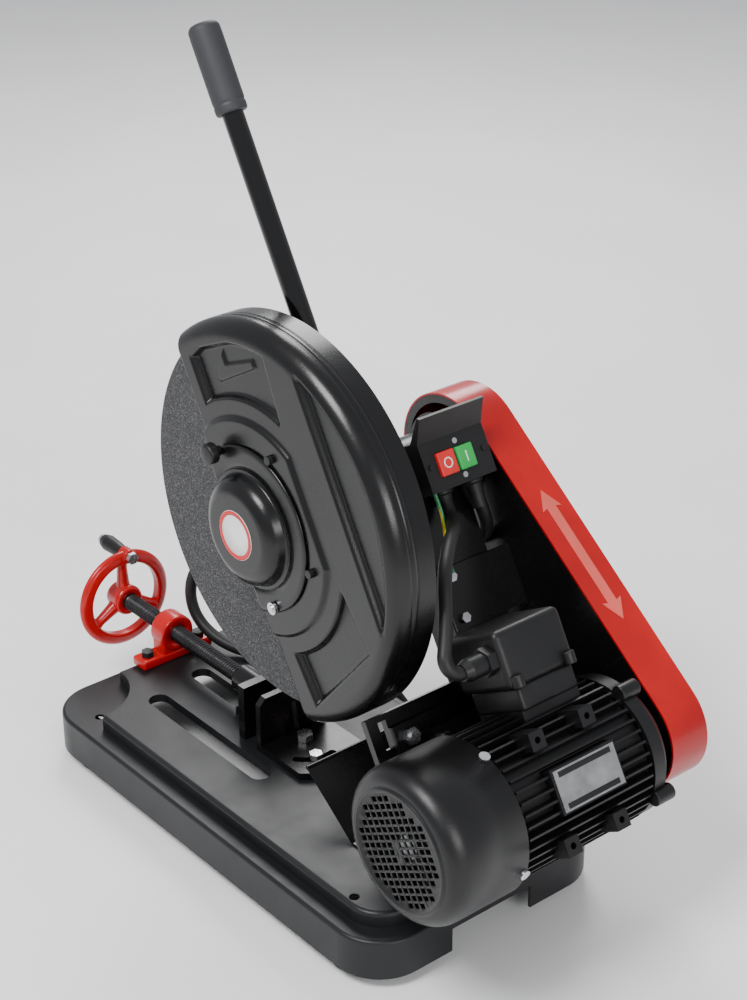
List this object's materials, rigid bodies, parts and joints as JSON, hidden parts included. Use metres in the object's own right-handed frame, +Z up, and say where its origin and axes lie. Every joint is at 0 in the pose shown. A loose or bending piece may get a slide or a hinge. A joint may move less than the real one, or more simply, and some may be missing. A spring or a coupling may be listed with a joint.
{
  "type": "abrasive chop saw",
  "caption": "Stationary abrasive chop saw: pressed steel base with screw vise and swivel fence, tilting arm with guarded disc, motor and covered belt drive.",
  "frame": {"origin": "centre of the four mounting holes, on the surface that the feet stand on", "axes": "+Z up, +Y towards the motor end, +X to the side that carries the disc"},
  "size_m": [0.5275, 0.8327, 0.8604],
  "materials": {
    "base_steel": "satin dark grey paint",
    "black_sheet": "semi-gloss black paint",
    "motor_paint": "textured black paint",
    "red_paint": "gloss red paint",
    "zinc": "bright zinc plate",
    "steel": "machined steel",
    "screw_steel": "blackened steel",
    "bronze": "sintered bronze",
    "pulley_iron": "bare cast iron",
    "abrasive": "resin bonded dark grit",
    "handle_paint": "gloss black paint",
    "grip_rubber": "grey moulded rubber",
    "black_rubber": "black rubber",
    "black_plastic": "black moulded plastic",
    "red_plastic": "red moulded plastic",
    "green_plastic": "green moulded plastic",
    "wire_plastic": "yellow and green insulation",
    "plate_metal": "satin metal plate"
  },
  "bodies": {
    "base": {"base_tray": "base_steel", "rubber_feet": "black_rubber", "base_bolts": "zinc", "spark_deflector": "black_sheet", "pivot_bracket": "black_sheet", "pivot_shaft": "steel", "vise_bracket": "red_paint", "fence_bolts": "zinc", "mains_lead": "black_rubber", "plug_lead": "black_rubber", "lead_coil": "black_rubber", "mains_plug": "black_rubber"},
    "fence": {"fixed_fence": "black_sheet"},
    "jaw": {"movable_jaw": "black_sheet", "jaw_guide": "black_sheet"},
    "screw": {"vise_screw": "screw_steel", "handwheel": "red_paint", "crank_bolt": "zinc"},
    "crank": {"crank_handle": "black_plastic"},
    "arm": {"arm_frame": "black_sheet", "pivot_bushes": "bronze", "return_spring": "steel", "motor_plate": "black_sheet", "arm_bolts": "zinc", "spindle_housing": "black_sheet", "ball_bearings": "steel", "handle_tube": "handle_paint", "handle_grip": "grip_rubber", "guard_rear": "black_sheet", "guard_front": "black_sheet", "belt_cover": "red_paint", "cover_bracket": "black_sheet", "v_belts": "black_rubber", "motor_frame": "motor_paint", "stator_core": "steel", "drive_end_bell": "motor_paint", "fan_end_bell": "motor_paint", "fan_cover": "motor_paint", "small_screws": "zinc", "terminal_box": "motor_paint", "terminal_box_lid": "motor_paint", "cable_gland": "black_plastic", "nameplate": "plate_metal", "switch_box": "black_plastic", "switch_plate": "black_plastic", "switch_contacts": "black_plastic", "motor_lead": "black_rubber", "earth_wire": "wire_plastic"},
    "hub": {"hub_cover": "black_sheet", "cover_knob": "black_plastic"},
    "spindle": {"spindle_shaft": "steel", "spindle_pulley": "pulley_iron", "disc_flanges": "steel", "spindle_nut": "steel", "cutting_disc": "abrasive"},
    "rotor": {"motor_rotor": "steel", "cooling_fan": "black_plastic", "motor_pulley": "pulley_iron"},
    "start": {"start_button": "green_plastic"},
    "stop": {"stop_button": "red_plastic"}
  },
  "joints": [
    {"name": "arm_swing", "type": "hinge", "parent": "base", "child": "arm", "pos_m": [0, 0.18995, 0.15001], "axis": [1, 0, 0], "range_deg": [0, 36.3], "deforming": ["mains_lead"]},
    {"name": "spindle_spin", "type": "hinge", "parent": "arm", "child": "spindle", "pos_m": [0, 0.041, 0.402], "axis": [1, 0, 0], "continuous": true},
    {"name": "motor_spin", "type": "hinge", "parent": "arm", "child": "rotor", "pos_m": [0, 0.32403, 0.19498], "axis": [1, 0, 0], "continuous": true},
    {"name": "vise_slide", "type": "slide", "parent": "base", "child": "jaw", "axis": [0, 1, 0], "range_m": [-0.094, 0.003]},
    {"name": "vise_screw_turn", "type": "hinge", "parent": "jaw", "child": "screw", "pos_m": [0, -0.365, 0.109], "axis": [0, 1, 0], "range_deg": [-8460, 270]},
    {"name": "crank_handle_spin", "type": "hinge", "parent": "screw", "child": "crank", "pos_m": [-0.008, -0.3934, 0.164], "axis": [0, 1, 0], "continuous": true},
    {"name": "fence_swivel", "type": "hinge", "parent": "base", "child": "fence", "pos_m": [0, -0.012, 0.0795], "axis": [0, 0, 1], "range_deg": [-30, 30]},
    {"name": "hub_cover_swing", "type": "hinge", "parent": "arm", "child": "hub", "pos_m": [0.102, 0.07717, 0.32935], "axis": [1, 0, 0], "range_deg": [0, 75]},
    {"name": "start_button_press", "type": "slide", "parent": "arm", "child": "start", "axis": [0, -0.866, -0.5], "range_m": [0, 0.003], "stiffness_N_per_m": 600},
    {"name": "stop_button_press", "type": "slide", "parent": "arm", "child": "stop", "axis": [0, -0.866, -0.5], "range_m": [0, 0.003], "stiffness_N_per_m": 600}
  ],
  "couplings": [
    {"joint": "motor_spin", "follows": "spindle_spin", "ratio": 0.9},
    {"joint": "vise_slide", "follows": "vise_screw_turn", "m_per_rad": 0.00063662}
  ]
}
